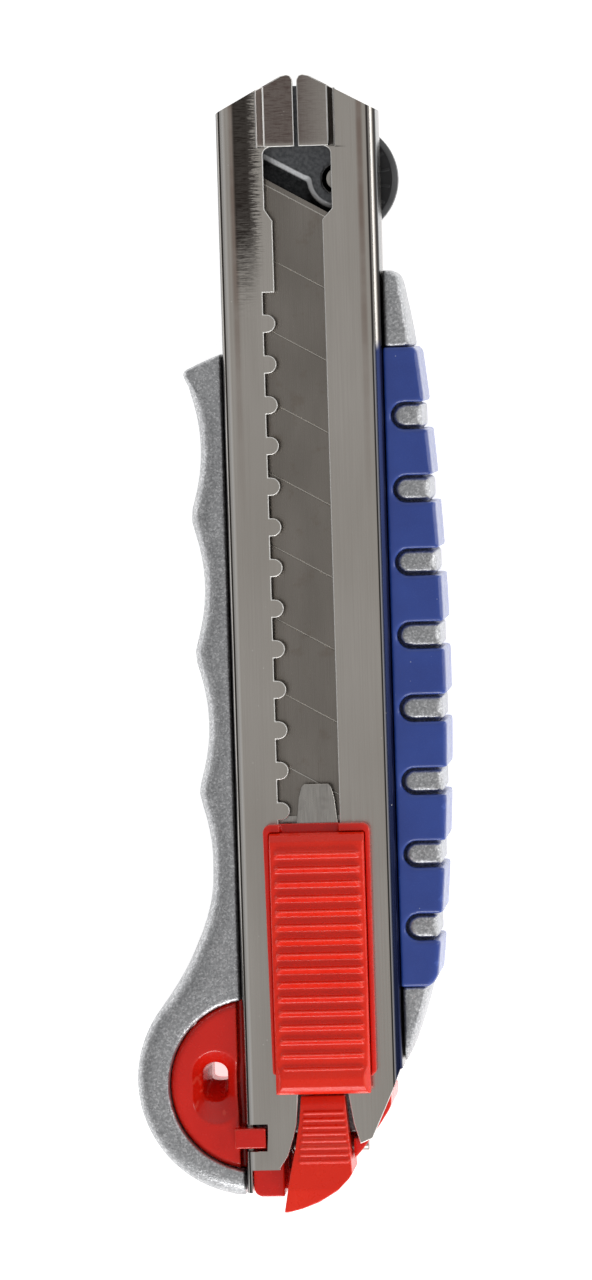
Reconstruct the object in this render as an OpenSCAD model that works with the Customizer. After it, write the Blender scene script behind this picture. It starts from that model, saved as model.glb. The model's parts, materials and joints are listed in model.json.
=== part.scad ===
// Snap-off utility knife with an 18 mm blade: cast handle with a finger loop, soft
// grip, folded steel guide channel, thumb slide with a lock, clamp wheel, tail cap.
// Millimetres. X across the knife, Y towards the blade tip, Z up out of the front.

/* [Handle] */
// Height of the channel front face above the back of the handle
front_z = 17; // [15:0.1:20]
// Height of the cast handle rim beside the channel
rim_z = 15.4; // [13:0.1:16]
// Depth of the rounding on the handle edges
edge_r = 3.2; // [1:0.1:4]
// Outer radius of the finger loop
loop_r = 16.4; // [14:0.1:20]
// Inner radius of the finger loop
loop_in_r = 12.1; // [9:0.1:14]
// X of the deepest part of the finger scallops
scallop_x = -14.93; // [-16:0.1:-13]
// Depth of the finger scallops
scallop_d = 2; // [0:0.1:3]
// Distance from one finger scallop to the next
scallop_pitch = 19.25; // [15:0.05:25]

/* [Grip] */
// Upper end of the soft grip
grip_top_y = 40.8; // [35:0.1:45]
// Lower end of the soft grip
grip_low_y = -48.3; // [-55:0.1:-40]
// Thickness of the soft grip over the casting
grip_t = 1.35; // [0.8:0.05:2]
// Number of slots between the grip fingers
slot_n = 8; // [4:1:10]
// Distance from one grip slot to the next
slot_pitch = 10.18; // [8:0.01:12]
// Width of a grip slot
slot_w = 3.8; // [2:0.1:4]

/* [Channel] */
// Half of the outside width of the channel
chan_hw = 11.1; // [10.8:0.05:12]
// Sheet thickness of the channel
sheet = 0.8; // [0.6:0.05:1]
// Height of the shoulder of the nose gable along Y
shoulder_y = 73.8; // [70:0.1:80]
// Height of the nose peak along Y
peak_y = 79.1; // [76:0.1:84]
// Distance from one lock tooth to the next
tooth_pitch = 5.65; // [4:0.05:7]
// Number of lock teeth
tooth_n = 18; // [10:1:20]
// Width of one lock tooth
tooth_w = 2.5; // [2:0.1:3]

/* [Blade] */
// Width of the blade
blade_w = 18; // [18:1:18]
// Thickness of the blade
blade_t = 0.5; // [0.4:0.05:0.6]
// Length of the blade along its cutting edge
blade_len = 100; // [80:1:110]
// Distance from one score line to the next
score_pitch = 10.07; // [9:0.01:11]
// Angle of the score lines and of the blade tip to the blade's width
score_deg = 29.6; // [25:0.1:45]

/* [Thumb slide] */
// Half width of the base of the thumb slide
base_hw = 7.45; // [6:0.05:9]
// Half width of the ribbed top of the thumb slide
top_hw = 6.6; // [5:0.1:8]
// Number of ribs on the thumb slide
rib_n = 16; // [8:1:20]
// Distance from one rib to the next
rib_pitch = 2; // [1.5:0.01:3]

/* [Clamp] */
// Radius of the clamp wheel
wheel_r = 7.95; // [6:0.05:10]
// Thickness of the clamp wheel
wheel_t = 3.8; // [2:0.1:5]
// Number of ribs on the wheel face
wheel_ribs = 18; // [6:1:36]

/* [Hidden] */
$fn = 48;

far = 200;
eps = 0.01;
// inner end of the grip slots and middle of the first slot
slot_x = 13.9;
slot_y = 31.3;
// levels in the stack
face_under = front_z - sheet;
blade_z = 14.5;
blade_top = blade_z + blade_t;
blade_tip = 67.17;
bed_z = 14.45;
wall_z = 8.6;
nose_drop = 1;
// running room round the channel walls
wall_gap = 0.15;
core_hw = chan_hw - sheet - wall_gap;
rail_in = 9.15;
groove_out = chan_hw + 0.3;
// finger loop
loop_c = [-9.99, -61.05];
loop_in_c = [-9.66, -61.7];
loop_flat_x = -11.2;
loop_a0 = 136;
loop_a1 = 264.7;
// outer edge of the grip, a long arc
rim_c = [-367.25, -5.5];
rim_r = 385.9;
tail_c = [-53.13, -30.82];
tail_r = 70.65;
scallop_y = 17.9;
horn_y = 36.2;
scallop_end = -32;
// blade magazine inside the handle
mag_hw = 9.4;
mag_z0 = 2.4;
mag_z1 = 6.4;
mag_end = 41;
// groove in the bed for the carrier block
trough_hw = 4;
trough_z = 12;
trough_y0 = -61.6;
trough_y1 = 36;
// clamp
clamp_c = [5.4, 64.4];
foot_r = 1.5;
foot_top = 14.3;
foot_bore_r = 2.1;
screw_r = 1.5;
wheel_z = 3.5;
hub_r = 2.6;
tongue_z = 9.45;
// slot and window of the channel
slot_l = -3.55;
slot_r = 3.4;
notch_x = -5.2;
notch_top = 48.9;
notch_low = -54;
tooth_y0 = 44.6;
tooth_tip = 3.55;
win_l = -4.6;
win_r = 4.8;
win_top = 68.9;
win_low = 60;
slot_top = 58.8;
// thumb slide
lock_y = tooth_y0 - tooth_pitch * 15.5;
plate_z = 16.3;
plate_t = 0.6;
base_z = front_z + 0.1;
base_x = 0.2;
base_y0 = -60.4;
base_y1 = -24.9;
top_x = 0.25;
top_y0 = -62.5;
top_y1 = -26.1;
rib_y = -28.75;
top_z0 = 18.3;
floor_z = 17.45;
carrier_y0 = -60;
carrier_y1 = -24;
well_c = [0, lock_y];
well_r = 2.3;
well_z = 12.9;
stud_in = 5.1;
stud_y = blade_tip - blade_len + stud_in;
// tail cap
pin_y = -70.8;
pin_z = 10;
pin_r = 0.9;

function rim_x(y) = rim_c[0] + sqrt(rim_r * rim_r - pow(y - rim_c[1], 2));
function tail_x(y) = tail_c[0] + sqrt(tail_r * tail_r - pow(y - tail_c[1], 2));
// finger scallops: 0 on a ridge and 1 in the middle of a hollow, with a soft ridge
function scallop_t(y) = let (u = (y - scallop_y) / scallop_pitch) norm([2 * (u - round(u)), 0.1]);
function scallop_at(y) = scallop_x - scallop_d * pow(1 - min(1, scallop_t(y)), 2);
function gable_y(x) = peak_y - (abs(x) - 1.3) * (peak_y - shoulder_y) / (chan_hw - 1.3);

// left edge of the casting, from the loop up past the horn
flare_x = [[-53.4, -24.5], [-52.3, -23.85], [-51.2, -23.1], [-50.1, -22.3], [-49, -21.5],
  [-47.9, -20.75], [-45.9, -19.4], [-43.4, -18.15], [-40.9, -17], [-38.4, -16.05],
  [-36, -15.4], [-33.6, -15], [-32, -14.9]];
horn_x = [[36.2, -16.35], [37, -16.82], [37.7, -17.05], [38.2, -16.95], [38.5, -16.6],
  [39.4, -14.6], [41.2, -10.15]];
// right edge of the casting above the grip
tip_x = [[41, 15.2], [50.2, 13.9], [50.9, 13.5], [51.3, 12.9], [51.5, 12.3]];
// right edge of the core below the grip, beside the tail cap
core_x = [[-69, 5], [-63, 8.5], [-61.9, 9.15], [-60.3, 10.4], [-58.8, 11.6], [-57, 30]];
function left_x(y) = y < scallop_end ? lookup(y, flare_x)
  : y < horn_y ? scallop_at(y)
  : lookup(y, horn_x);
function right_x(y) = y < grip_low_y ? tail_x(y) : y < 41 ? rim_x(y) - grip_t : lookup(y, tip_x);
left_soft = [[-53.4, 0.75], [-45, 1], [31, 1], [37.3, 0.3], [41, 0.15]];
cast_y = concat([-53.4, -52.2, -51, -49.8, -48.9, grip_low_y - 0.15, grip_low_y], [for (y = [-47 : 2.2 : -32]) y],
  [for (y = [-30.6 : 1.65 : 35.5]) y], [36.2, 37, 37.4, 37.7, 38, 38.2, 38.5, 39.4, 40.3, 40.95, 41.05, 41.3],
  [43.5, 46, 48.4, 50.2, 50.9, 51.3, 51.5]);
cast_rows = [for (y = cast_y) [y, left_x(y), right_x(y), lookup(y, left_soft), y < 41 ? 0.4 : 0.15]];
core_rows = [for (y = [-69, -67, -65, -63, -61.9, -60.3, -58.8, -57.2, -55, -52.5])
  [y, -11.3, min(tail_x(y), lookup(y, core_x)), 0.05, 0.4]];

function unit(v) = v / norm(v);

// solid along Y with one rounded section per row: [y, left x, right x, left and right share]
module ladder(rows, z0, z1, r, steps) {
  m = 4 * (steps + 1);
  n = len(rows);
  function s(k) = 1 - sin(90 * k / steps);
  function c(k) = 1 - cos(90 * k / steps);
  function section(q) = concat(
    [for (k = [0 : steps]) [q[1] + q[3] * r * c(k), q[0], z0 + r * s(k)]],
    [for (k = [0 : steps]) [q[2] - q[4] * r * s(k), q[0], z0 + r * c(k)]],
    [for (k = [0 : steps]) [q[2] - q[4] * r * c(k), q[0], z1 - r * s(k)]],
    [for (k = [0 : steps]) [q[1] + q[3] * r * s(k), q[0], z1 - r * c(k)]]);
  pts = [for (q = rows) each section(q)];
  walls = [for (j = [0 : n - 2]) for (i = [0 : m - 1])
    [j * m + (i + 1) % m, (j + 1) * m + (i + 1) % m, (j + 1) * m + i, j * m + i]];
  ends = [[for (i = [m - 1 : -1 : 0]) i], [for (i = [0 : m - 1]) (n - 1) * m + i]];
  polyhedron(points = pts, faces = concat(walls, ends), convexity = 8);
}

module box(x0, x1, y0, y1, z0, z1) {
  translate([x0, y0, z0]) cube([x1 - x0, y1 - y0, z1 - z0]);
}

module slab(z0, z1) {
  translate([0, 0, z0]) linear_extrude(z1 - z0) children();
}

// profile in Y and Z carried across X
module across(x0, x1) {
  translate([x0, 0, 0]) rotate([90, 0, 90]) linear_extrude(x1 - x0) children();
}

// profile in X and Z carried along Y
module along(y0, y1) {
  translate([0, y1, 0]) rotate([90, 0, 0]) linear_extrude(y1 - y0) children();
}

module round_rect(x0, x1, y0, y1, r) {
  translate([x0 + r, y0]) square([x1 - x0 - 2 * r, y1 - y0]);
  translate([x0, y0 + r]) square([x1 - x0, y1 - y0 - 2 * r]);
  for (x = [x0 + r, x1 - r])
    for (y = [y0 + r, y1 - r])
      translate([x, y]) circle(r);
}

module nose_plan(hw, drop) {
  polygon([[-hw, 40], [hw, 40], [hw, gable_y(hw) - drop], [1.8, gable_y(1.8) - drop],
    [-1.8, gable_y(1.8) - drop], [-hw, gable_y(hw) - drop]]);
}

// sunken area of the bed with a sloped edge in front of the blade tip
module bed_relief() {
  depth = 0.85;
  ramp = 1.7;
  edge_a = [-9.1, 70.82];
  edge_b = [2.7, 64.3];
  dir = unit(edge_b - edge_a);
  ang = atan2(dir[1], dir[0]);
  boss_r = 3.3;
  difference() {
    slab(bed_z - depth, front_z)
      difference() {
        polygon([[-9.1, 44], [9.1, 44], [9.1, 64.3], edge_b, edge_a]);
        translate(clamp_c) circle(boss_r);
      }
    translate([clamp_c[0], clamp_c[1], bed_z - depth - eps])
      cylinder(h = depth + eps, r1 = boss_r + ramp, r2 = boss_r);
    translate([edge_a[0], edge_a[1], 0])
      rotate([0, 0, ang])
        translate([-2, 0, 0])
          rotate([90, 0, 90])
            linear_extrude(14)
              polygon([[0, bed_z], [0, bed_z - 2 * depth], [-2 * ramp, bed_z - 2 * depth]]);
  }
}

module pads() {
  for (k = [0 : slot_n - 1]) {
    y = slot_y - slot_pitch * k;
    out = rim_x(y) - 0.55;
    half = slot_w / 2 - 0.4;
    intersection() {
      along(y - half, y + half) round_rect(10.5, out, 1.1, 15.1, 1);
      slab(0, front_z) {
        translate([slot_x, y]) circle(half);
        translate([slot_x, y - half]) square([8, 2 * half]);
      }
    }
  }
}

// outer half of the finger loop
module loop_ring() {
  soft = 2.4;
  translate([loop_c[0], loop_c[1], 0])
    rotate([0, 0, loop_a0 - 1.4])
      rotate_extrude(angle = loop_a1 + 1.4 - loop_a0, $fn = 96)
        difference() {
          round_rect(4, loop_r, 0, rim_z, soft);
          square([10, 40]);
        }
}

module handle_body() {
  color([0.7, 0.71, 0.72]) {
    difference() {
      union() {
        difference() {
          union() {
            ladder(cast_rows, 0, rim_z, edge_r, 4);
            ladder(core_rows, 0, rim_z, edge_r, 4);
            loop_ring();
            box(-11.8, -10.3, -76.9, -68, 0.3, 8.3);
          }
          // seat for the grip on the front and on the back
          box(11.3, 30, grip_low_y - 0.05, grip_top_y + 0.05, 14.05, far);
          box(11.3, 30, grip_low_y - 0.05, grip_top_y + 0.05, -1, 1.95);
          // ramp under the nose
          across(-30, 30)
            polygon([[40.9, -1], [40.9, 0], [42.6, 0.7], [53, tongue_z], [60, tongue_z], [60, -1]]);
          // finger loop
          slab(-1, far)
            intersection() {
              translate(loop_in_c) circle(loop_in_r, $fn = 96);
              translate([-40, -90]) square([40 + loop_flat_x, 60]);
            }
        }
        slab(tongue_z, rim_z - 0.1) nose_plan(core_hw, 1.4);
        pads();
        translate([-15.6, -47.6, 10]) cylinder(h = rim_z - 10 + 0.12, r = 1.75);
      }
      // room for the channel walls
      for (s = [-1, 1])
        box(min(s * core_hw, s * groove_out), max(s * core_hw, s * groove_out), -90, 90,
          wall_z - 0.1, far);
      // bed under the blade
      box(-rail_in, rail_in, -90, 90, bed_z, far);
      box(-trough_hw, trough_hw, trough_y0, trough_y1, trough_z, far);
      bed_relief();
      // clamp foot and screw
      translate([clamp_c[0], clamp_c[1], 12]) cylinder(h = 5, r = foot_bore_r);
      translate([clamp_c[0], clamp_c[1], 5]) cylinder(h = 9, r = screw_r + 0.06);
      // magazine, and the lightening pocket between it and the bed
      box(-mag_hw, mag_hw, -90, mag_end, mag_z0, mag_z1);
      box(-mag_hw + 2, mag_hw - 2, -60, mag_end - 4, mag_z1 - eps, trough_z - 1.6);
      // room for the release tongue and for the hook of the loop insert
      box(-5.6, 5.8, -90, -62.6, 11.6, far);
      box(-12, -7.7, -71, -66.8, 13.8, far);
      box(-12, -9.9, -72.6, -50, wall_z - 0.1, far);
    }
  }
}

module grip_cover() {
  y0 = grip_low_y;
  y1 = grip_top_y;
  x0 = chan_hw + 0.06;
  soft = 0.55;
  rows = concat([[y0, x0, rim_x(y0) - 1.2, 0.1, soft], [y0 + 0.6, x0, rim_x(y0) - 0.4, 0.1, soft],
    [y0 + 1.6, x0, rim_x(y0 + 1.6), 0.1, soft]],
    [for (y = [y0 + 4 : 3.2 : y1 - 1.5]) [y, x0, rim_x(y), 0.1, soft]],
    [[y1 - 0.6, x0, rim_x(y1 - 0.6), 0.1, soft], [y1, x0, rim_x(y1) - 0.4, 0.1, soft]]);
  seat = concat([[10, -60]], [for (y = [-60 : 4 : 60]) [rim_x(y) - grip_t + 0.05, y]], [[10, 60]]);
  color([0.16, 0.27, 0.62])
    difference() {
      ladder(rows, 0.3, 15.6, 1, 3);
      slab(1.9, 14.1) polygon(seat);
      box(10, 11.4, -60, 60, -1, 2);
      for (k = [0 : slot_n - 1])
        slab(-1, far) {
          translate([slot_x, slot_y - slot_pitch * k]) circle(slot_w / 2);
          translate([slot_x, slot_y - slot_pitch * k - slot_w / 2]) square([10, slot_w]);
        }
    }
}

module sheet_section() {
  difference() {
    round_rect(-chan_hw, chan_hw, 2, front_z, 1.2);
    round_rect(-chan_hw + sheet, chan_hw - sheet, 1, front_z - sheet, 0.5);
    translate([-20, 0]) square([40, wall_z]);
  }
}

module slot_plan() {
  translate([slot_l, -80]) square([slot_r - slot_l, 80 + slot_top + 2]);
  difference() {
    translate([notch_x, notch_low]) square([2.2, notch_top - notch_low]);
    for (k = [0 : tooth_n - 1])
      translate([0, tooth_y0 - tooth_pitch * k]) {
        translate([-6, -tooth_w / 2]) square([6 - tooth_tip - tooth_w / 2, tooth_w]);
        translate([-tooth_tip - tooth_w / 2, 0]) circle(tooth_w / 2);
      }
  }
  // window over the blade tip, narrowing into the slot
  round_rect(win_l, win_r, win_low + 0.4, win_top, 1);
  polygon([[win_l, win_low + 1.6], [win_l, win_low + 0.4], [slot_l, slot_top], [slot_r, slot_top],
    [win_r, win_low + 0.3], [win_r, win_low + 1.6]]);
  // mouth for the release lever at the tail
  polygon([[-3.3, -62.5], [-3.6, -63], [-3.85, -66.9], [-4.35, -68.9], [-5.2, -71.5], [-6.3, -73.1],
    [-6.4, -90], [8, -90], [4.9, -69.7], [4.1, -67], [3.4, -62.5]]);
}

module petal() {
  half = 0.27;
  slab(face_under - nose_drop, front_z - nose_drop)
    difference() {
      polygon([[half, win_top + 0.1], [4.5, win_top + 0.1], [4.5, gable_y(4.5)],
        [1.9, gable_y(1.9)], [1.1, peak_y - 0.15], [0.6, peak_y - 0.3], [half, peak_y - 0.9]]);
    }
  intersection() {
    along(win_top + 0.1, 90)
      polygon([[4.45, face_under - nose_drop], [5.45, face_under], [5.45, front_z],
        [4.45, front_z - nose_drop]]);
    slab(0, far) nose_plan(chan_hw, 0);
  }
}

module guide_channel() {
  color([0.62, 0.59, 0.55]) {
    difference() {
      union() {
        along(-76.6, 90) sheet_section();
        // web across the back, under the cast tongue
        box(-chan_hw, chan_hw, 53.2, 72, wall_z, wall_z + sheet);
      }
      difference() {
        box(-30, 30, 60, 100, 0, far);
        slab(0, far) nose_plan(chan_hw + 1, 0);
      }
      slab(11.5, far) slot_plan();
      box(-5.4, 5.4, win_top, 100, 0, far);
      // the tail end is cut off slantwise on the right, and only the left wall runs on
      slab(0, far)
        polygon([[10.8, -59.6], [9.4, -63.2], [6.7, -69.2], [4.9, -69.95], [4.9, -73.4],
          [-chan_hw + sheet, -73.4], [-chan_hw + sheet, -90], [30, -90], [30, -59.6]]);
      // notch for the hook of the loop insert
      box(-20, -7.95, -70.8, -66.95, 13.8, far);
      translate([clamp_c[0], clamp_c[1], 0]) cylinder(h = 11, r = hub_r + 0.4);
    }
    petal();
    mirror([1, 0, 0]) petal();
  }
}

module oval_plan(r, run) {
  translate([0, -run / 2]) circle(r);
  translate([0, run / 2]) circle(r);
  translate([-r, -run / 2]) square([2 * r, run]);
}

module lanyard_insert() {
  z0 = 1.4;
  z1 = 14.7;
  r = loop_in_r - 0.1;
  soft = 1.1;
  hole = [-15.6, -61.7];
  color([0.85, 0.16, 0.12])
    difference() {
      union() {
        intersection() {
          translate([loop_in_c[0], loop_in_c[1], 0])
            rotate_extrude($fn = 96)
              difference() {
                round_rect(-r, r, z0, z1, soft);
                translate([-30, -1]) square([30, 40]);
              }
          box(-40, -12.1, -90, -30, 0, far);
        }
        intersection() {
          translate([loop_in_c[0], loop_in_c[1], 3]) cylinder(h = 9.4, r = r, $fn = 96);
          box(-13, -11.3, -90, -30, 0, far);
        }
        box(-12.6, -8.3, -70.35, -67.55, 14, 16.9);
      }
      translate(hole) slab(-1, far) oval_plan(2.35, 2.8);
      for (s = [0, 1])
        translate([hole[0], hole[1], s == 0 ? z1 : z0])
          mirror([0, 0, s])
            hull() {
              translate([0, 0, -1.7]) slab(0, 0.1) oval_plan(2.35, 2.8);
              translate([0.3, -0.2, 0]) slab(0, 0.1) oval_plan(3.6, 3.4);
            }
    }
}

module blade_plan(tip, length) {
  hw = blade_w / 2;
  polygon([[-hw, tip], [hw, tip - blade_w * tan(score_deg)], [hw, tip - length], [-hw, tip - length]]);
}

module blade_section(z) {
  polygon([[-9, z + blade_t / 2], [-7.3, z + blade_t], [9, z + blade_t], [9, z], [-7.3, z]]);
}

module one_blade(tip, z) {
  hw = blade_w / 2;
  difference() {
    intersection() {
      along(tip - blade_len, tip) blade_section(z);
      slab(z, z + blade_t) blade_plan(tip, blade_len);
    }
    for (k = [1 : 7])
      translate([0, tip - 0.8 - score_pitch * k - hw * tan(score_deg), z + blade_t])
        rotate([0, 0, -score_deg])
          cube([24, 0.16, 0.2], center = true);
    translate([0, tip - blade_len + stud_in, z - 1]) cylinder(h = 2, r = 2.5);
  }
}

module blade() {
  color([0.47, 0.44, 0.4]) one_blade(blade_tip, blade_z);
}

module spare_blades() {
  color([0.47, 0.44, 0.4])
    for (k = [0 : 2])
      one_blade(39.6, mag_z1 - 0.65 - 0.55 * k);
}

module magazine_spring() {
  top = mag_z1 - 0.65 - 1.1 - 0.1;
  low = mag_z0 + 0.05;
  t = 0.3;
  color([0.55, 0.55, 0.56])
    across(-4, 4)
      polygon([[-40, low], [-34, low], [-6, top - t], [6, top - t], [34, low], [40, low],
        [40, low + t], [34, low + t], [6, top], [-6, top], [-34, low + t], [-40, low + t]]);
}

module clamp_foot() {
  color([0.72, 0.71, 0.69])
    translate([clamp_c[0], clamp_c[1], 0]) {
      translate([0, 0, 12.5]) cylinder(h = foot_top - 12.5, r = foot_r);
      translate([0, 0, 10.6]) cylinder(h = 2, r = 0.7);
    }
}

module clamp_screw() {
  color([0.6, 0.6, 0.6])
    translate([clamp_c[0], clamp_c[1], 0])
      difference() {
        translate([0, 0, wheel_z + 0.6]) cylinder(h = 12.45 - wheel_z - 0.6, r = screw_r);
        translate([0, 0, 10.4]) cylinder(h = 4, r = 0.75);
      }
}

module clamp_wheel() {
  color([0.05, 0.05, 0.055])
    translate([clamp_c[0], clamp_c[1], 0])
      difference() {
        union() {
          rotate_extrude($fn = 96)
            polygon([[0, wheel_z], [wheel_r - 1, wheel_z], [wheel_r, wheel_z + 0.8],
              [wheel_r, wheel_z + wheel_t - 0.9], [wheel_r - 0.7, wheel_z + wheel_t],
              [hub_r, wheel_z + wheel_t], [hub_r, 8.7], [0, 8.7]]);
          for (k = [0 : wheel_ribs - 1])
            rotate([0, 0, 10 + 360 * k / wheel_ribs])
              box(4.6, wheel_r - 1, -0.2, 0.2, wheel_z + wheel_t - 0.2, wheel_z + wheel_t + 0.15);
        }
        translate([0, 0, wheel_z + 0.55]) cylinder(h = 20, r = screw_r);
      }
}

module carrier_plan() {
  translate([-8.6, carrier_y0]) square([17.2, carrier_y1 - carrier_y0]);
}

module blade_carrier() {
  color([0.66, 0.65, 0.63])
    difference() {
      union() {
        slab(15.1, 15.5) carrier_plan();
        for (s = [-1, 1])
          box(s * 8.2 - 0.4, s * 8.2 + 0.4, carrier_y0, carrier_y1, 15.1, 16.1);
        box(-3.6, 3.6, carrier_y0, -36, trough_z + 0.15, 15.3);
      }
      translate([well_c[0], well_c[1], well_z]) cylinder(h = 5, r = well_r);
      translate([0, stud_y, 14]) cylinder(h = 3, r = 1.5);
      box(-5.2, -2, lock_y - 2, lock_y + 2, 15, 15.6);
    }
}

module blade_stud() {
  color([0.6, 0.58, 0.55])
    translate([0, stud_y, 0]) {
      translate([0, 0, blade_z + 0.05]) cylinder(h = 0.53, r = 2.4);
      translate([0, 0, 15]) cylinder(h = 0.48, r = 1.45);
    }
}

module slider_base() {
  gap = 0.1;
  narrow = 0.4;
  color([0.85, 0.16, 0.12])
    difference() {
      union() {
        translate([base_x, 0, 0])
          slab(base_z, 19)
            polygon([[-base_hw + narrow, base_y0 + 0.8], [-base_hw + narrow + 0.8, base_y0],
              [base_hw - 0.8, base_y0], [base_hw, base_y0 + 0.8], [base_hw, base_y1 - 0.9],
              [base_hw - 0.3, base_y1 - 0.3], [base_hw - 0.9, base_y1], [-base_hw + 0.9, base_y1],
              [-base_hw + 0.3, base_y1 - 0.3], [-base_hw, base_y1 - 0.9]]);
        // post through the slot down to the carrier
        box(-2.9, 3, -59.5, -49.2, 15.5, base_z + 0.2);
      }
      // well of the ribbed top, window for the lug plate and gate for its tongue
      box(top_x - top_hw - gap, top_x + top_hw + gap, -80, top_y1 + gap, floor_z, far);
      box(-3, 3.1, -48.2, -36.4, 0, far);
      box(-4.9, 3.3, -27, -20, floor_z, far);
    }
}

module button_profile() {
  polygon([[top_y0 + 0.5, top_z0], [top_y1 - 0.2, top_z0], [top_y1, top_z0 + 0.5],
    [top_y1 - 0.3, 19.6], [top_y1 - 1.2, 20.2], [-28.6, 20.35], [-44, 20.2], [-58.6, 20.5],
    [-59.4, 20.9], [-60.2, 21.1], [-61.4, 21], [-62.1, 20.6], [top_y0, 20], [top_y0, top_z0 + 0.8]]);
}

module slider_button() {
  color([0.85, 0.16, 0.12]) {
    intersection() {
      across(top_x - top_hw, top_x + top_hw) button_profile();
      translate([top_x, 0, 0])
        along(-70, -20)
          polygon([[-top_hw, 17], [top_hw, 17], [top_hw, 20], [top_hw - 0.5, 20.7],
            [top_hw - 1.2, 21.4], [-top_hw + 1.2, 21.4], [-top_hw + 0.5, 20.7], [-top_hw, 20]]);
    }
    for (k = [0 : rib_n - 1]) {
      translate([top_x, rib_y - rib_pitch * k, 0])
        intersection() {
          across(-6, 6)
            polygon([[0, 20], [0, 20.95], [-0.15, 21], [-0.9, 20.3], [-0.9, 20]]);
          along(-3, 3)
            polygon([[-6, 20], [6, 20], [6, 20.4], [5.4, 21], [-5.4, 21], [-6, 20.4]]);
        }
    }
    // foot that rests on the lug plate
    box(-2.8, 2.9, -47.6, -37, plate_z + plate_t + 0.02, top_z0 + 0.2);
  }
}

module lock_plate() {
  color([0.7, 0.69, 0.67])
    slab(plate_z, plate_z + plate_t) {
      polygon([[-1.9, -19.9], [-2.3, -21.4], [-2.7, -25], [-2.9, -28], [-2.9, -48.2], [3, -48.2],
        [3, -28], [3.1, -25], [2.7, -21.4], [2.3, -19.9], [1.9, -19.5], [-1.5, -19.5]]);
      translate([-4.6, lock_y - 1.2]) square([3, 2.4]);
    }
}

// round wire that follows a list of points
module wire(path, r, sides) {
  n = len(path);
  function along_at(i) = unit(path[min(n - 1, i + 1)] - path[max(0, i - 1)]);
  pts = [for (i = [0 : n - 1])
    let (t = along_at(i), u = unit(cross(t, [0.13, 0.21, 0.97])), v = cross(t, u))
    for (k = [0 : sides - 1])
      path[i] + r * cos(360 * k / sides) * u + r * sin(360 * k / sides) * v];
  walls = [for (i = [0 : n - 2]) for (k = [0 : sides - 1])
    [i * sides + k, i * sides + (k + 1) % sides, (i + 1) * sides + (k + 1) % sides,
      (i + 1) * sides + k]];
  ends = [[for (k = [sides - 1 : -1 : 0]) k], [for (k = [0 : sides - 1]) (n - 1) * sides + k]];
  polyhedron(points = pts, faces = concat(walls, ends), convexity = 8);
}

module return_spring() {
  turns = 4;
  gauge = 0.22;
  steps = 20;
  mid = 1.8;
  z0 = well_z + gauge + 0.03;
  rise = plate_z - gauge - 0.05 - z0;
  color([0.6, 0.6, 0.62])
    translate([well_c[0], well_c[1], 0])
      wire([for (k = [0 : turns * steps])
        let (a = 360 * k / steps, f = k / (turns * steps), g = min(1, max(0, (f - 0.15) / 0.7)))
        [mid * cos(a), mid * sin(a), z0 + rise * g]], gauge, 8);
}

module cap_line() {
  polygon([[-10.2, -76.2], [-9.9, -76.9], [-9.2, -77.25], [-5.3, -77.3], [-2, -76.6], [1.2, -75],
    [3.7, -72.6], [4.1, -72.1], [5.5, -70.5], [6.7, -68.8], [7.85, -67.2], [8.9, -65.6],
    [9.35, -64.7], [9.4, -63.2], [9.1, -62.8], [5.25, -69.25], [-10.2, -69.25]]);
}

module end_cap() {
  color([0.85, 0.16, 0.12])
    difference() {
      union() {
        slab(0.8, 15.9) cap_line();
        slab(mag_z0 + 0.1, mag_z1 - 0.1)
          polygon([[-9.25, -71], [-9.25, -61.6], [-8.6, -61], [7.6, -61], [8.3, -61.6],
            [8.3, -65.5], [5.8, -69.6], [4, -71.5]]);
      }
      // clear of the hook of the loop insert
      box(-12, -7.9, -70.9, -60, 13.7, far);
      slab(8, far) polygon([[-5.9, -68], [-5.95, -90], [4, -90], [4, -71.5], [3.9, -68]]);
      translate([-8.2, pin_y, pin_z]) rotate([0, 90, 0]) cylinder(h = 14, r = pin_r + 0.02);
    }
}

module cap_lever() {
  color([0.85, 0.16, 0.12]) {
    difference() {
      intersection() {
        slab(0, far)
          polygon([[-3.2, -63.1], [-3.45, -66.5], [-4.1, -70.5], [-4.75, -73.5], [-5.75, -79.1],
            [-5.2, -79.1], [-3.2, -78.6], [-0.8, -77.7], [1.75, -76.15], [3.4, -74.5], [3.85, -73.8],
            [3.65, -71], [3.3, -67], [2.95, -63.1]]);
        across(-8, 8)
          polygon([[-63.1, 14.5], [-63.1, 16.9], [-64.3, 17.3], [-72, 18.9], [-76, 19.4],
            [-79, 19.2], [-79.6, 18.6], [-79.6, 9.6], [-78.6, 8.9], [-70.8, 8.7], [-70, 9.2],
            [-69.55, 10.1], [-69.45, 11.6], [-68.8, 12.3], [-68.3, 14.5]]);
      }
      translate([-8.2, pin_y, pin_z]) rotate([0, 90, 0]) cylinder(h = 20, r = pin_r + 0.06);
    }
    for (k = [0 : 7])
      translate([0, -65.4 - 0.95 * k, 17.55 + 0.2 * k])
        rotate([0, 90, 0])
          cylinder(h = 5.6 + 0.2 * k, r = 0.2, center = true, $fn = 12);
  }
}

module lever_pin() {
  color([0.6, 0.6, 0.62])
    translate([-8, pin_y, pin_z]) rotate([0, 90, 0]) cylinder(h = 13.7, r = pin_r);
}

// torsion spring round the lever pin, one leg on the cap and one under the lever
module lever_spring() {
  turns = 2;
  gauge = 0.16;
  steps = 20;
  mid = pin_r + gauge + 0.08;
  x0 = -5.45;
  pitch = 0.38;
  coil = [for (k = [0 : turns * steps])
    let (a = 90 + 360 * k / steps)
    [x0 + pitch * k / steps, pin_y + mid * cos(a), pin_z + mid * sin(a)]];
  color([0.6, 0.6, 0.62])
    wire(concat([[x0, pin_y - 3.2, pin_z + mid - 0.1]], coil,
      [[x0 + pitch * turns, pin_y + 1.6, pin_z + mid]]), gauge, 8);
}

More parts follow.
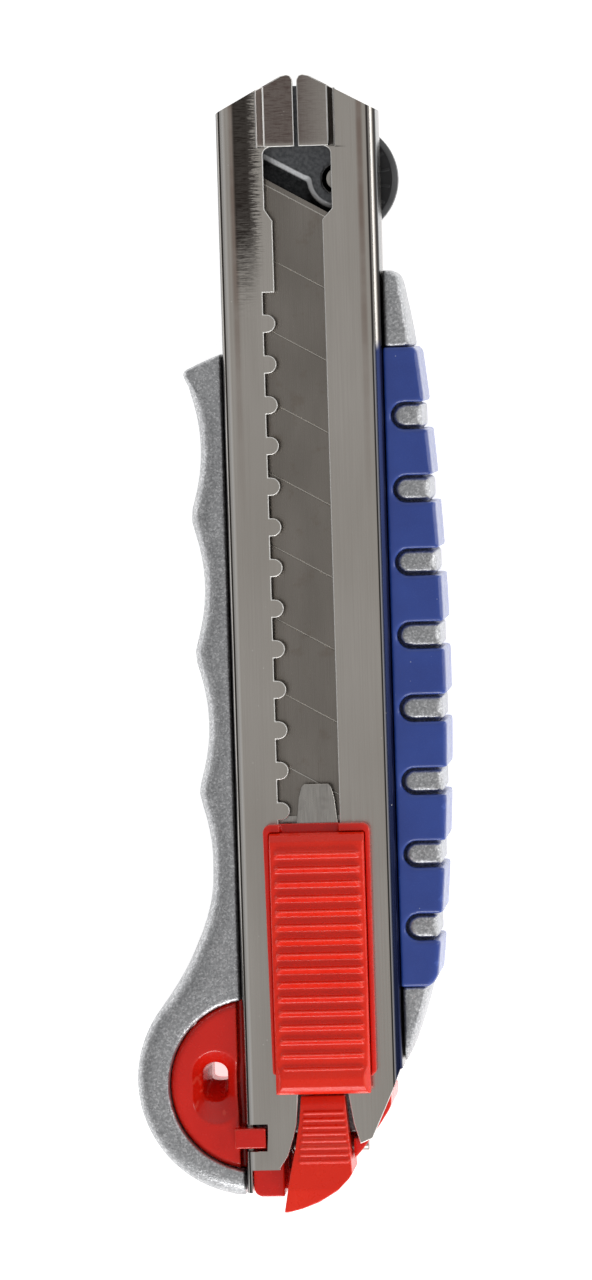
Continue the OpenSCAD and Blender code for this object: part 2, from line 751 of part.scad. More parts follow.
handle_body();
grip_cover();
guide_channel();
lanyard_insert();
spare_blades();
magazine_spring();
clamp_foot();
clamp_wheel();
clamp_screw();
blade_carrier();
blade_stud();
blade();
slider_base();
slider_button();
lock_plate();
return_spring();
end_cap();
cap_lever();
lever_pin();
lever_spring();
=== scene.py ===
"""Snap-off utility knife: the looks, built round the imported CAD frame. Lengths are in metres."""

import json
import math

import bmesh
import bpy
from mathutils import Matrix, Vector

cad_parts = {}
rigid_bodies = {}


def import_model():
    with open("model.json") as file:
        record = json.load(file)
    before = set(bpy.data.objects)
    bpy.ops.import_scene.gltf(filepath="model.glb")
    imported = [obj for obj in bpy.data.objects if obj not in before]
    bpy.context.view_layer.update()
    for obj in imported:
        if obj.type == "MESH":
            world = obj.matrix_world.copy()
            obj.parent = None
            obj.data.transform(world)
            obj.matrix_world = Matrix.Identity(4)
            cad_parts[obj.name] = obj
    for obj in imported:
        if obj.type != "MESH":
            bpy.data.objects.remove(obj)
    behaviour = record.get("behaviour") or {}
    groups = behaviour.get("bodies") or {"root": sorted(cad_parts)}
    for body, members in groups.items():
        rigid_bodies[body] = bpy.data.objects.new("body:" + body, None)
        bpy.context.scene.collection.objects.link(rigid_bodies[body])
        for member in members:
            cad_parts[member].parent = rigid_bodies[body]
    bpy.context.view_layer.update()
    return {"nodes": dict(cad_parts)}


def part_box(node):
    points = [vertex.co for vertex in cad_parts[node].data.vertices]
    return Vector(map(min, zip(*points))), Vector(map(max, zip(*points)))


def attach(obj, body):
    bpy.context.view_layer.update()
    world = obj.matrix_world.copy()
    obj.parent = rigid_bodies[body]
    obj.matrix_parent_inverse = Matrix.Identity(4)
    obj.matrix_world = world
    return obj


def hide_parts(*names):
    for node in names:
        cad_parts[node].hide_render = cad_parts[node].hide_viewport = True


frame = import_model()

MM = 0.001

# ---------------------------------------------------------------- camera
SENSOR = 36.0
FRAME_HEIGHT = 0.17778           # height of the frame at the channel face
DISTANCE = 0.900                 # from the camera to the channel face
FACE_Z = 0.017                   # height of the channel face
LEAN = math.radians(1.70)        # the knife leans this much in the frame
TILT_X = math.radians(4.6)       # the camera stands towards the grip side
TILT_Y = math.radians(3.0)       # and a little towards the blade tip
SHIFT = (-0.01109, 0.00312)      # the knife's place in the frame, in frame heights


def make_camera():
    data = bpy.data.cameras.new("camera")
    data.lens = DISTANCE * SENSOR / FRAME_HEIGHT
    data.sensor_width = SENSOR
    data.shift_x, data.shift_y = SHIFT
    data.clip_start, data.clip_end = 0.01, 10.0
    cam = bpy.data.objects.new("camera", data)
    bpy.context.scene.collection.objects.link(cam)
    back = Vector((math.tan(TILT_X), math.tan(TILT_Y), 1.0)).normalized()
    up = Vector((math.sin(LEAN), math.cos(LEAN), 0.0))
    up = (up - back * up.dot(back)).normalized()
    right = up.cross(back)
    turn = Matrix((right, up, back)).transposed().to_4x4()
    cam.matrix_world = Matrix.Translation(Vector((0, 0, FACE_Z)) + back * DISTANCE) @ turn
    bpy.context.scene.camera = cam


# ---------------------------------------------------------------- node materials
def fill_ramp(points, stops):
    """Puts the stops, each (position, colour), into a new colour ramp."""
    first, last = points
    for point, (position, colour) in ((first, stops[0]), (last, stops[-1])):
        point.position = position
        point.color = (*colour, 1)
    for position, colour in stops[1:-1]:
        points.new(position).color = (*colour, 1)


class Finish:
    """One node material. Each call adds a node and returns its output socket; places are in mm."""

    def __init__(self, name, **fixed):
        self.mat = bpy.data.materials.new(name)
        self.mat.use_nodes = True
        self.tree = self.mat.node_tree
        self.shader = self.tree.nodes["Principled BSDF"]
        for socket, value in fixed.items():
            self.shader.inputs[socket.replace("_", " ")].default_value = value
        place = self.add("ShaderNodeTexCoord").outputs["Object"]
        self.place = self.feed("ShaderNodeVectorMath", 0, [place], operation="SCALE", Scale=1 / MM)
        split = self.add("ShaderNodeSeparateXYZ")
        self.tree.links.new(self.place, split.inputs[0])
        self.x, self.y, self.z = split.outputs

    def add(self, kind, **settings):
        node = self.tree.nodes.new(kind)
        for key, value in settings.items():
            if key in node.inputs:
                node.inputs[key].default_value = value
            else:
                setattr(node, key, value)
        return node

    def feed(self, kind, output, values, **settings):
        node = self.add(kind, **settings)
        for socket, value in zip(node.inputs, values):
            if isinstance(value, bpy.types.NodeSocket):
                self.tree.links.new(value, socket)
            elif value is not None:
                socket.default_value = value
        return node.outputs[output]

    def math(self, operation, *values):
        return self.feed("ShaderNodeMath", 0, values, operation=operation)

    def stretch(self, scale):
        """Places with each axis multiplied, so that a pattern becomes streaks."""
        return self.feed("ShaderNodeVectorMath", 0, [self.place, scale], operation="MULTIPLY")

    def noise(self, size, scale=(1, 1, 1), detail=3.0, rough=0.5):
        """Noise from 0 to 1 whose lumps are about size mm."""
        node = self.add("ShaderNodeTexNoise", Scale=1 / size, Detail=detail, Roughness=rough)
        self.tree.links.new(self.stretch(scale), node.inputs["Vector"])
        return node.outputs[0]

    def cells(self, size, output="Distance", randomness=1.0):
        """Cell pattern: distance to the cell's middle, or one random colour for each cell."""
        node = self.add("ShaderNodeTexVoronoi", Scale=1 / size, Randomness=randomness)
        self.tree.links.new(self.place, node.inputs["Vector"])
        return node.outputs[output]

    def fade(self, value, start, end, low=0.0, high=1.0, linear=False):
        """low before start, high after end, smooth or straight between them."""
        node = self.add("ShaderNodeMapRange", interpolation_type="LINEAR" if linear else "SMOOTHSTEP")
        self.tree.links.new(value, node.inputs["Value"])
        for socket, number in (("From Min", start), ("From Max", end), ("To Min", low), ("To Max", high)):
            node.inputs[socket].default_value = number
        return node.outputs[0]

    def both(self, *masks):
        result = masks[0]
        for mask in masks[1:]:
            result = self.math("MULTIPLY", result, mask)
        return result

    def ramp(self, value, *stops):
        """Colour from a value; each stop is (position, colour)."""
        node = self.add("ShaderNodeValToRGB")
        fill_ramp(node.color_ramp.elements, stops)
        self.tree.links.new(value, node.inputs[0])
        return node.outputs[0]

    def mix(self, factor, first, second):
        """Colour first where the factor is 0 and second where it is 1."""
        node = self.add("ShaderNodeMix", data_type="RGBA")
        for socket, value in ((0, factor), (6, first), (7, second)):
            if isinstance(value, bpy.types.NodeSocket):
                self.tree.links.new(value, node.inputs[socket])
            elif socket == 0:
                node.inputs[socket].default_value = value
            else:
                node.inputs[socket].default_value = (*value, 1)
        return node.outputs[2]

    def bump(self, height, depth, normal=None):
        """Surface relief; height runs from 0 to 1 and depth is its size in mm."""
        node = self.add("ShaderNodeBump", Strength=1.0, Distance=depth * MM)
        self.tree.links.new(height, node.inputs["Height"])
        if normal:
            self.tree.links.new(normal, node.inputs["Normal"])
        return node.outputs[0]

    def edges(self, low, high):
        """Mask of convex edges that wear; it needs a mesh of small even faces, as moulded() makes."""
        return self.fade(self.add("ShaderNodeNewGeometry").outputs["Pointiness"], low, high)

    def wire(self, **sockets):
        for name, value in sockets.items():
            self.tree.links.new(value, self.shader.inputs[name.replace("_", " ")])
        return self.mat


PAD_TOP = 14.5                   # height of the pad that the blade lies on, inside the nose


def silver_paint():
    """Sprayed metallic paint on a zinc casting; the bed inside the nose gets painted shade, darkest where it
    is sunk, and a painted highlight along the pad's edge.
    """
    f = Finish("silver_paint", Metallic=0.9, IOR=1.5)
    flakes = f.cells(0.22, "Color")
    flake = f.math("POWER", f.feed("ShaderNodeSeparateColor", 0, [flakes]), 3.0)
    cloud = f.noise(9, detail=4)
    grain = f.noise(0.35, detail=4, rough=0.6)
    tone = f.ramp(cloud, (0.3, (0.36, 0.365, 0.375)), (0.7, (0.43, 0.435, 0.445)))
    tone = f.mix(f.fade(grain, 0.4, 0.7, 0, 0.7), tone, (0.56, 0.565, 0.575))
    tone = f.mix(f.fade(grain, 0.45, 0.3, 0, 0.6), tone, (0.20, 0.20, 0.21))
    tone = f.mix(f.math("MULTIPLY", flake, 0.6), tone, (0.95, 0.95, 0.96))
    across = f.math("ABSOLUTE", f.x)
    # painted shade on the bed inside the nose, darkest on the sunk part below the pad's top
    bed = f.both(f.fade(f.y, 43, 44), f.fade(across, 10.3, 10.1), f.fade(f.z, 9.5, 10))
    mottle = f.noise(0.5, detail=5)
    sunk_shade = f.ramp(mottle, (0.35, (0.016, 0.017, 0.018)), (0.75, (0.05, 0.051, 0.053)))
    pad = f.ramp(mottle, (0.35, (0.10, 0.104, 0.11)), (0.75, (0.19, 0.195, 0.205)))
    tone = f.mix(bed, tone, f.mix(f.fade(f.z, PAD_TOP - 0.3, PAD_TOP), sunk_shade, pad))
    # a painted highlight along the pad's top edge
    pad_edge_glint = f.both(bed, f.fade(f.z, PAD_TOP - 0.55, PAD_TOP - 0.4), f.fade(f.z, PAD_TOP - 0.12, PAD_TOP - 0.22))
    tone = f.mix(f.math("MULTIPLY", pad_edge_glint, 0.8), tone, (0.8, 0.81, 0.83))
    gloss = f.fade(f.noise(0.5, detail=3), 0.3, 0.7, 0.30, 0.44)
    relief = f.bump(grain, 0.06, f.bump(f.noise(2.2, detail=2), 0.06))
    return f.wire(Base_Color=tone, Roughness=gloss, Normal=relief)


def blue_rubber():
    """Soft moulded grip with a matt skin, pressed sheen and a little dust."""
    f = Finish("blue_rubber", Metallic=0.0, IOR=1.46, Coat_Weight=0.7, Coat_Roughness=0.18, Coat_IOR=1.5)
    cloud = f.noise(6, detail=3)
    tone = f.ramp(cloud, (0.3, (0.013, 0.045, 0.275)), (0.7, (0.019, 0.060, 0.33)))
    fine = f.noise(0.18, detail=4, rough=0.6)
    tone = f.mix(f.fade(fine, 0.45, 0.8, 0, 0.3), tone, (0.035, 0.09, 0.42))
    rubbed = f.both(f.edges(0.51, 0.58), f.fade(f.noise(1.5), 0.4, 0.6, 0.15, 0.5))
    tone = f.mix(rubbed, tone, (0.075, 0.15, 0.55))
    dust = f.both(f.fade(f.cells(1.3), 0.075, 0.05), f.fade(f.noise(4), 0.5, 0.62))
    tone = f.mix(f.math("MULTIPLY", dust, 0.6), tone, (0.55, 0.6, 0.75))
    gloss = f.fade(f.noise(1.2, detail=4), 0.3, 0.7, 0.38, 0.54)
    relief = f.bump(fine, 0.012, f.bump(f.noise(1.4, detail=2), 0.02))
    return f.wire(Base_Color=tone, Roughness=gloss, Normal=relief)


BEND_IN, BEND_OUT = 9.75, 11.1   # where the channel's bends begin and end across the knife
GRIP_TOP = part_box("grip_cover")[1].y / MM
RAMP_IN, RAMP_OUT = 4.45, 5.5    # the folded ramps beside the nose petals, across the knife
PETAL_FOOT = 69                  # where petals and ramps begin along the knife
NOSE_DARK = (0.045, 0.036, 0.031)


def painted_bend_glints(f, across):
    """Painted highlights and shade lines along the channel's bends, and a painted reflection of the grip's
    blue on its side.
    """
    bright, dark = (0.5, 0.46, 0.42), (0.05, 0.045, 0.04)
    bend = f.fade(across, BEND_IN, BEND_OUT, linear=True)
    finger_side = f.ramp(
        bend, (0.0, (0.55, 0.51, 0.46)), (0.27, (0.9, 0.87, 0.83)), (0.5, (0.8, 0.77, 0.73)),
        (0.58, (0.05, 0.043, 0.036)), (0.70, (0.05, 0.043, 0.036)), (0.78, (0.42, 0.40, 0.38)),
        (0.86, (0.3, 0.29, 0.28)), (0.95, (0.02, 0.019, 0.018)))
    grip_bend = f.ramp(
        bend, (0.0, bright), (0.06, dark), (0.16, dark), (0.24, (0.62, 0.6, 0.6)),
        (0.34, (0.25, 0.27, 0.36)), (0.42, (0.02, 0.028, 0.075)), (0.95, (0.01, 0.014, 0.05)))
    bare_bend = f.ramp(
        bend, (0.0, bright), (0.1, (0.06, 0.05, 0.045)), (0.2, (0.06, 0.05, 0.045)),
        (0.35, (0.6, 0.57, 0.53)), (0.55, (0.5, 0.47, 0.44)), (0.72, dark), (0.95, (0.02, 0.02, 0.02)))
    grip_side = f.mix(f.fade(f.y, GRIP_TOP - 0.5, GRIP_TOP + 1.5), grip_bend, bare_bend)
    return f.mix(f.fade(f.x, -1, 1), finger_side, grip_side)


def nose_marks(f, across, tone):
    """Dark hatching left of the window and on the petals, and dark ramps beside them."""
    hatch = f.noise(0.42, (0.25, 3.2, 1), detail=5, rough=0.7)
    fine = f.noise(0.3, (2.5, 0.35, 1), detail=4, rough=0.65)
    marks = f.math("MAXIMUM", f.fade(hatch, 0.47, 0.6), f.math("MULTIPLY", f.fade(fine, 0.5, 0.66), 0.5))
    ragged = f.math("ADD", f.y, f.fade(hatch, 0.3, 0.7, -4, 4))
    torn = f.math("ADD", f.x, f.fade(hatch, 0.35, 0.65, -0.9, 0.9))
    left = f.both(f.fade(torn, -5.3, -6.2), f.fade(f.x, -8.95, -8.5), f.fade(ragged, 46, 59))
    petals = f.both(f.fade(f.y, PETAL_FOOT, PETAL_FOOT + 0.8), f.fade(across, RAMP_OUT, RAMP_OUT - 0.2),
                    f.fade(f.x, -1, 4.4, 0.92, 0.35))
    ramps = f.both(f.fade(f.y, PETAL_FOOT - 0.4, PETAL_FOOT + 0.4),
                   f.fade(across, RAMP_IN - 0.1, RAMP_IN + 0.05),
                   f.fade(across, RAMP_OUT + 0.1, RAMP_OUT - 0.05))
    tone = f.mix(f.math("MULTIPLY", petals, f.fade(marks, 0, 1, 0.75, 1.0)), tone, (0.13, 0.085, 0.075))
    tone = f.mix(f.math("MULTIPLY", left, f.fade(marks, 0, 1, 0.9, 1.0)), tone, NOSE_DARK)
    return f.mix(f.math("MULTIPLY", ramps, 0.9), tone, NOSE_DARK)


def plated_steel():
    """Nickel-plated channel: drawn lines, dark hatching at the nose, a painted brown reflection inside the
    bends and painted highlights along them.
    """
    f = Finish("plated_steel", Metallic=1.0, Anisotropic=0.25)
    cloud = f.noise(14, (1.6, 0.5, 1), detail=3)
    drawn = f.noise(0.5, (2.2, 0.03, 2.2), detail=5, rough=0.6)
    tone = f.ramp(cloud, (0.3, (0.555, 0.515, 0.465)), (0.7, (0.64, 0.60, 0.55)))
    tone = f.mix(f.fade(drawn, 0.35, 0.75, 0, 0.28), tone, (0.46, 0.42, 0.375))
    across = f.math("ABSOLUTE", f.x)
    # painted brown reflection inside the bends, strongest at the nose
    wander = f.noise(5, (0.3, 1, 0.3), detail=3)
    brown_reflection = f.both(f.fade(across, 8.2, 8.75), f.fade(across, 9.5, 9.0), f.fade(f.z, 15.5, 16),
                  f.fade(f.y, 10, 66), f.fade(wander, 0.25, 0.6, 0.6, 1.0))
    tone = f.mix(f.math("MULTIPLY", brown_reflection, 0.6), tone, (0.20, 0.105, 0.07))
    # painted highlights, shade lines and reflections along the bends
    outer = f.both(f.fade(across, BEND_IN - 0.05, BEND_IN + 0.05), f.fade(f.z, 14.6, 15.2))
    tone = f.mix(outer, tone, painted_bend_glints(f, across))
    tone = nose_marks(f, across, tone)
    # the outer walls stand in the shade of the casting
    wall = f.both(f.fade(across, BEND_OUT - 0.2, BEND_OUT - 0.1), f.fade(f.z, 15.2, 14.8),
                  f.fade(f.z, 8, 13, 0.3, 1.0))
    tone = f.mix(wall, tone, (0.09, 0.085, 0.08))
    # pin-head specks in the plating
    speck = f.both(f.fade(f.cells(1.7), 0.06, 0.035), f.fade(f.noise(5, detail=2), 0.5, 0.6))
    tone = f.mix(f.math("MULTIPLY", speck, 0.7), tone, (0.93, 0.9, 0.86))
    gloss = f.fade(drawn, 0.3, 0.7, 0.17, 0.27)
    relief = f.bump(drawn, 0.004, f.bump(f.noise(11, detail=2), 0.05))
    return f.wire(Base_Color=tone, Roughness=gloss, Normal=relief)


def cut_edge():
    """Bright sheared edge of the plated sheet."""
    f = Finish("cut_edge", Metallic=1.0)
    lines = f.noise(0.3, (1, 1, 2.5), detail=4)
    tone = f.ramp(lines, (0.3, (0.93, 0.91, 0.87)), (0.7, (0.99, 0.98, 0.96)))
    gloss = f.fade(lines, 0.3, 0.7, 0.5, 0.62)
    return f.wire(Base_Color=tone, Roughness=gloss, Normal=f.bump(lines, 0.01))


def ground_blade(pitch, first, slope):
    """Ground carbon steel with score lines every pitch mm, the first at that distance along Y."""
    f = Finish("ground_blade", Metallic=1.0, Anisotropic=0.3)
    cloud = f.noise(7, (1.4, 0.5, 1), detail=3)
    grind = f.noise(0.35, (3.2, 0.05, 1), detail=5, rough=0.65)
    tone = f.ramp(cloud, (0.3, (0.29, 0.262, 0.232)), (0.7, (0.355, 0.322, 0.288)))
    tone = f.mix(f.fade(grind, 0.4, 0.8, 0, 0.45), tone, (0.25, 0.225, 0.20))
    along = f.math("ADD", f.y, f.math("MULTIPLY", f.x, slope))
    turns = f.math("DIVIDE", f.math("SUBTRACT", along, first), pitch)
    off = f.math("ABSOLUTE", f.math("SUBTRACT", turns, f.math("ROUND", turns)))
    line = f.fade(off, 0.013, 0.008)
    tone = f.mix(f.math("MULTIPLY", line, 0.85), tone, (0.80, 0.76, 0.70))
    stain = f.fade(f.noise(2.6, detail=5, rough=0.65), 0.56, 0.7, 0, 0.35)
    tone = f.mix(stain, tone, (0.24, 0.19, 0.15))
    gloss = f.fade(grind, 0.3, 0.7, 0.22, 0.34)
    groove = f.math("SUBTRACT", 1.0, f.fade(off, 0.014, 0.006))
    relief = f.bump(grind, 0.003, f.bump(groove, 0.08))
    return f.wire(Base_Color=tone, Roughness=gloss, Normal=relief)


def rolled_steel(name, light, dark, rough):
    """Small stamped or drawn steel pieces with faint lines and smudges."""
    f = Finish(name, Metallic=1.0)
    lines = f.noise(0.4, (2.5, 0.15, 2.5), detail=5, rough=0.6)
    smudge = f.noise(2.5, detail=4)
    tone = f.ramp(lines, (0.3, dark), (0.7, light))
    tone = f.mix(f.fade(smudge, 0.5, 0.75, 0, 0.5), tone, tuple(0.6 * c for c in dark))
    gloss = f.fade(smudge, 0.3, 0.7, rough - 0.06, rough + 0.1)
    return f.wire(Base_Color=tone, Roughness=gloss, Normal=f.bump(lines, 0.006))


def red_plastic(name, light, dark, rough, coat):
    """Moulded plastic with faint flow marks, fine scuffs and brighter rubbed edges."""
    f = Finish(name, Metallic=0.0, IOR=1.42, Coat_Weight=coat, Coat_Roughness=0.12,
               Subsurface_Weight=0.06, Subsurface_Scale=0.0008, Subsurface_Radius=(1.0, 0.15, 0.08))
    flow = f.noise(7, (1, 0.6, 1), detail=4)
    fine = f.noise(0.25, detail=4, rough=0.6)
    tone = f.ramp(flow, (0.3, dark), (0.7, light))
    tone = f.mix(f.fade(fine, 0.5, 0.85, 0, 0.25), tone, tuple(min(1.0, 1.2 * c + 0.02) for c in light))
    tone = f.mix(f.math("MULTIPLY", f.edges(0.51, 0.58), 0.35), tone, (0.97, 0.13, 0.08))
    lines = f.noise(0.5, (0.3, 3, 1), detail=4, rough=0.7)
    scuff = f.both(f.fade(lines, 0.62, 0.74), f.fade(f.noise(3), 0.5, 0.62))
    tone = f.mix(f.math("MULTIPLY", scuff, 0.25), tone, (0.98, 0.22, 0.16))
    gloss = f.fade(f.noise(0.9, detail=4), 0.3, 0.7, rough - 0.05, rough + 0.07)
    relief = f.bump(fine, 0.006, f.bump(f.noise(2.5, detail=2), 0.02))
    return f.wire(Base_Color=tone, Roughness=gloss, Normal=relief)


def black_plastic():
    """Satin black plastic with a fine grain."""
    f = Finish("black_plastic", Metallic=0.0, IOR=1.5)
    cloud = f.noise(1.8, detail=4)
    fine = f.noise(0.16, detail=4, rough=0.6)
    tone = f.ramp(cloud, (0.3, (0.008, 0.008, 0.009)), (0.7, (0.018, 0.018, 0.020)))
    tone = f.mix(f.fade(fine, 0.6, 0.8, 0, 0.3), tone, (0.05, 0.05, 0.053))
    gloss = f.fade(f.noise(0.7, detail=3), 0.3, 0.7, 0.3, 0.46)
    return f.wire(Base_Color=tone, Roughness=gloss, Normal=f.bump(fine, 0.012))


# ---------------------------------------------------------------- floor and light
FLOOR_HALF = 1.5
FLOOR_GLOW = 0.72


def make_floor():
    mesh = bpy.data.meshes.new("floor")
    corners = [(x * FLOOR_HALF, y * FLOOR_HALF, 0) for x, y in ((-1, -1), (1, -1), (1, 1), (-1, 1))]
    mesh.from_pydata(corners, [], [(0, 1, 2, 3)])
    floor = bpy.data.objects.new("floor", mesh)
    floor.location.z = -0.5 * MM
    bpy.context.scene.collection.objects.link(floor)
    f = Finish("paper", Roughness=0.9, Specular_IOR_Level=0.1, Emission_Strength=FLOOR_GLOW,
               Emission_Color=(1, 1, 1, 1))
    tone = f.ramp(f.noise(60, detail=2), (0.3, (0.86, 0.86, 0.86)), (0.7, (0.88, 0.88, 0.88)))
    mesh.materials.append(f.wire(Base_Color=tone))


def make_world():
    """Studio surround: greyer overhead, bright low down, darker on the finger side."""
    world = bpy.data.worlds.new("studio")
    world.use_nodes = True
    tree = world.node_tree
    ground = tree.nodes["Background"]
    place = tree.nodes.new("ShaderNodeTexCoord")
    split = tree.nodes.new("ShaderNodeSeparateXYZ")
    tree.links.new(place.outputs["Generated"], split.inputs[0])

    def curve(axis, *stops):
        span = tree.nodes.new("ShaderNodeMapRange")
        span.inputs["From Min"].default_value = -1
        tree.links.new(split.outputs[axis], span.inputs["Value"])
        ramp = tree.nodes.new("ShaderNodeValToRGB")
        fill_ramp(ramp.color_ramp.elements, [((at + 1) / 2, (level, level, level)) for at, level in stops])
        tree.links.new(span.outputs[0], ramp.inputs[0])
        return ramp.outputs[0]

    height = curve(2, (0.0, 0.95), (0.45, 0.8), (0.8, 0.53), (1.0, 0.47))
    side = curve(0, (-1.0, 0.3), (-0.4, 0.75), (0.0, 1.0), (0.35, 0.85), (1.0, 0.25))
    product = tree.nodes.new("ShaderNodeMix")
    product.data_type = "RGBA"
    product.blend_type = "MULTIPLY"
    product.inputs[0].default_value = 1.0
    tree.links.new(height, product.inputs[6])
    tree.links.new(side, product.inputs[7])
    tree.links.new(product.outputs[2], ground.inputs["Color"])
    bpy.context.scene.world = world


def area_light(name, place, size, power):
    data = bpy.data.lights.new(name, "AREA")
    data.shape = "RECTANGLE"
    data.size, data.size_y = size
    data.energy = power
    lamp = bpy.data.objects.new(name, data)
    lamp.location = place
    lamp.rotation_euler = (-Vector(place)).to_track_quat("-Z", "Y").to_euler()
    bpy.context.scene.collection.objects.link(lamp)


# ---------------------------------------------------------------- pieces
HOLE = Vector((-15.6, -61.7))    # middle of the lanyard hole, mm
HOLE_R, HOLE_RUN = 2.35, 1.4     # its end radius and half the distance between its end centres
HOLE_REACH = 2.2                 # the wall is pulled in up to this far from the hole's outline
HOLE_LIP, HOLE_DEEP = 1.5, 8     # depth where the narrowing starts, and how far down it grows
HOLE_SHIFT = Vector((0.45, 1.3)) # the bottom opening moves this much
HOLE_IN, HOLE_IN_DEEP = 0.35, 0.75  # the wall comes in this much at the top, and more at the bottom
HOLE_SHORTER = 0.35              # the bottom opening is shorter by this share


def off_oval(point, radius, run):
    """Distance of a point from the outline of an upright oval, and the direction outwards."""
    out = point - Vector((0, max(-run, min(run, point.y))))
    return out.length - radius, out.normalized()


def narrow_hole(obj):
    """Pulls the hole's wall in, most at the bottom, so that only a small window stays open."""
    top = max(v.co.z for v in obj.data.vertices) / MM
    for v in obj.data.vertices:
        point = Vector((v.co.x, v.co.y)) / MM - HOLE
        off, out = off_oval(point, HOLE_R, HOLE_RUN)
        weight = max(0.0, 1 - max(0.0, off) / HOLE_REACH) if off > -HOLE_REACH else 0.0
        weight *= weight * (3 - 2 * weight)
        depth = min(1.0, max(0.0, (top - HOLE_LIP - v.co.z / MM) / HOLE_DEEP))
        move = HOLE_SHIFT * depth - out * (HOLE_IN + HOLE_IN_DEEP * depth)
        move.y -= HOLE_SHORTER * point.y * depth
        v.co.x += move.x * weight * MM
        v.co.y += move.y * weight * MM


body_of = {n: o.parent.name.split(":")[-1] for n, o in frame["nodes"].items()}


def bare_copy(name, node):
    """A welded copy of a CAD node's mesh, without the node's own normals and materials."""
    source = frame["nodes"][node].data
    bm = bmesh.new()
    bm.from_mesh(source)
    bmesh.ops.remove_doubles(bm, verts=bm.verts, dist=0.001 * MM)
    mesh = bpy.data.meshes.new(name)
    bm.to_mesh(mesh)
    bm.free()
    for extra in [a.name for a in mesh.attributes if a.name.startswith(("custom_normal", "sharp"))]:
        mesh.attributes.remove(mesh.attributes[extra])
    mesh.materials.clear()
    obj = bpy.data.objects.new(name, mesh)
    bpy.context.scene.collection.objects.link(obj)
    return obj


def baked(obj):
    """The object's modifiers become its mesh."""
    graph = bpy.context.evaluated_depsgraph_get()
    made = bpy.data.meshes.new_from_object(obj.evaluated_get(graph))
    obj.modifiers.clear()
    obj.data = made
    return obj


def stand_for(obj, node, *finishes):
    """The object takes the node's place: its body and its finishes."""
    obj.data.materials.clear()
    for finish in finishes:
        obj.data.materials.append(finish)
    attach(obj, body_of[node])
    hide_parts(node)
    return obj


def moulded(node, voxel, rounds, finish, keep=1.0):
    """A cast or moulded piece: the CAD shape as one even skin with softened edges. voxel is in mm."""
    obj = bare_copy(node + "_skin", node)
    skin = obj.modifiers.new("skin", "REMESH")
    skin.mode = "VOXEL"
    skin.voxel_size = voxel * MM
    soft = obj.modifiers.new("soft", "SMOOTH")
    soft.factor = 0.5
    soft.iterations = rounds
    if keep < 1:
        thin = obj.modifiers.new("thin", "DECIMATE")
        thin.ratio = keep
    baked(obj)
    obj.data.shade_smooth()
    return stand_for(obj, node, finish)


FLAT = math.radians(0.6)         # faces that turn less than this are joined up


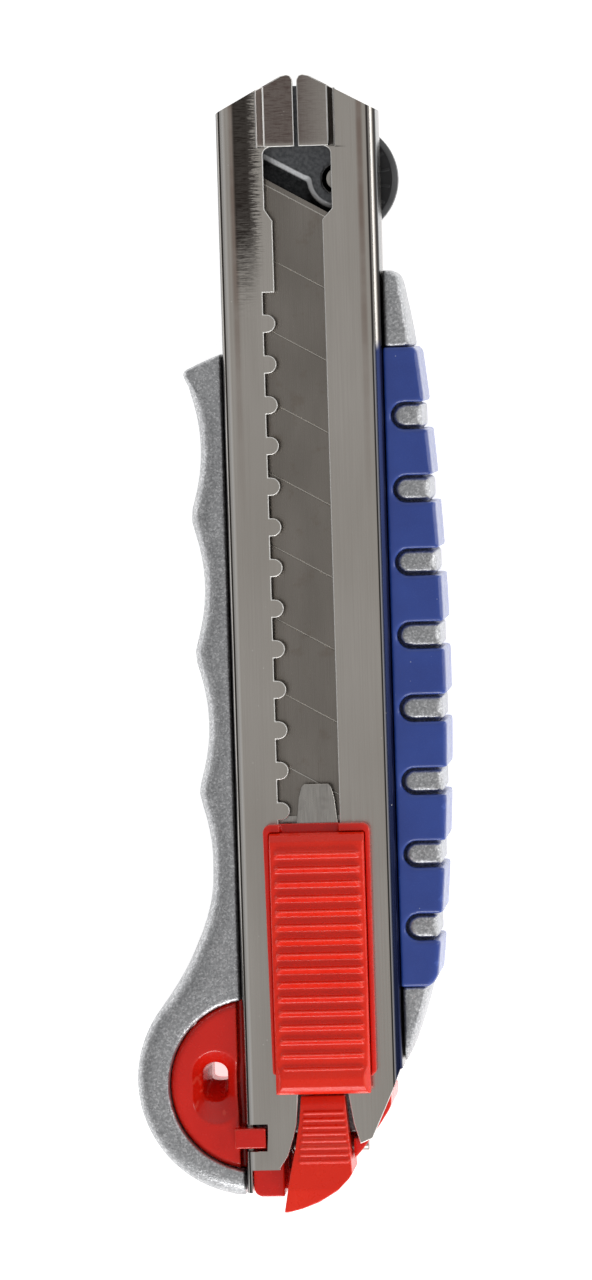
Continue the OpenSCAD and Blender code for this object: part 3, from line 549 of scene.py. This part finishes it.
def edged(node, width, finish, rim=None, reach=None, segments=2, angle=28):
    """A cut or pressed piece: flat faces joined up, sharp edges rounded and given the rim finish.

    width is in mm. With reach, only the edges nearer than reach mm to the middle plane are rounded;
    the others stay sharp.
    """
    obj = bare_copy(node + "_edged", node)
    bm = bmesh.new()
    bm.from_mesh(obj.data)
    bmesh.ops.dissolve_limit(bm, angle_limit=FLAT, verts=bm.verts, edges=bm.edges)
    if reach:
        weight = bm.edges.layers.float.new("bevel_weight_edge")
        for edge in bm.edges:
            crease = len(edge.link_faces) == 2 and edge.calc_face_angle() > math.radians(angle)
            near = all(abs(vertex.co.x) < reach * MM for vertex in edge.verts)
            edge[weight] = float(crease and near)
            edge.smooth = near or not crease
        for face in bm.faces:
            face.smooth = True
    bm.to_mesh(obj.data)
    bm.free()
    if not reach:
        obj.data.shade_smooth()
    obj.data.materials.append(finish)
    obj.data.materials.append(rim or finish)
    bevel = obj.modifiers.new("edge", "BEVEL")
    bevel.material = 1
    bevel.use_clamp_overlap = not reach
    bevel.width = width * MM
    bevel.segments = segments
    bevel.limit_method = "WEIGHT" if reach else "ANGLE"
    bevel.angle_limit = math.radians(angle)
    even = obj.modifiers.new("even", "WEIGHTED_NORMAL")
    even.keep_sharp = True
    baked(obj)
    faces = [face.material_index for face in obj.data.polygons]
    stand_for(obj, node, finish, rim or finish)
    obj.data.polygons.foreach_set("material_index", faces)
    return obj


def plain(node, finish):
    """A small hidden piece keeps its CAD mesh and gets its finish."""
    mesh = frame["nodes"][node].data
    mesh.materials.clear()
    mesh.materials.append(finish)


make_camera()
bpy.context.scene.view_settings.view_transform = "Standard"
make_floor()
make_world()
area_light("tail_light", (0.06, -0.62, 0.36), (0.5, 0.2), 2.2)
area_light("grip_light", (0.66, 0.05, 0.26), (0.2, 0.7), 1.2)

blade_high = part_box("blade")[1] / MM
SCORE_PITCH = 10.07
SCORE_SLOPE = math.tan(math.radians(29.6))
silver = silver_paint()
blue = blue_rubber()
plated = plated_steel()
ground = ground_blade(SCORE_PITCH, blade_high.y - 0.8 - blade_high.x * SCORE_SLOPE, SCORE_SLOPE)
springs = rolled_steel("spring_wire", (0.62, 0.62, 0.63), (0.40, 0.40, 0.41), 0.28)
pressed = rolled_steel("pressed_steel", (0.58, 0.55, 0.51), (0.42, 0.40, 0.37), 0.26)
red_satin = red_plastic("red_satin", (0.93, 0.026, 0.005), (0.86, 0.019, 0.004), 0.30, 0.1)
red_gloss = red_plastic("red_gloss", (0.78, 0.013, 0.004), (0.66, 0.009, 0.003), 0.22, 0.3)
black = black_plastic()

moulded("handle_body", 0.36, 3, silver, keep=0.5)
moulded("grip_cover", 0.27, 2, blue)
narrow_hole(moulded("lanyard_insert", 0.17, 2, red_gloss))
moulded("slider_button", 0.14, 2, red_satin)
moulded("cap_lever", 0.12, 2, red_satin)
moulded("end_cap", 0.2, 2, red_gloss)
edged("guide_channel", 0.12, plated, rim=cut_edge(), reach=9.6)
edged("clamp_wheel", 0.22, black)
moulded("slider_base", 0.16, 2, red_gloss)
edged("blade", 0.04, ground)
edged("lock_plate", 0.12, pressed)
edged("blade_carrier", 0.04, pressed)
for small in ("blade_stud", "clamp_foot", "clamp_screw", "lever_pin"):
    edged(small, 0.12, pressed)
plain("spare_blades", ground)
for coil in ("magazine_spring", "return_spring", "lever_spring"):
    plain(coil, springs)
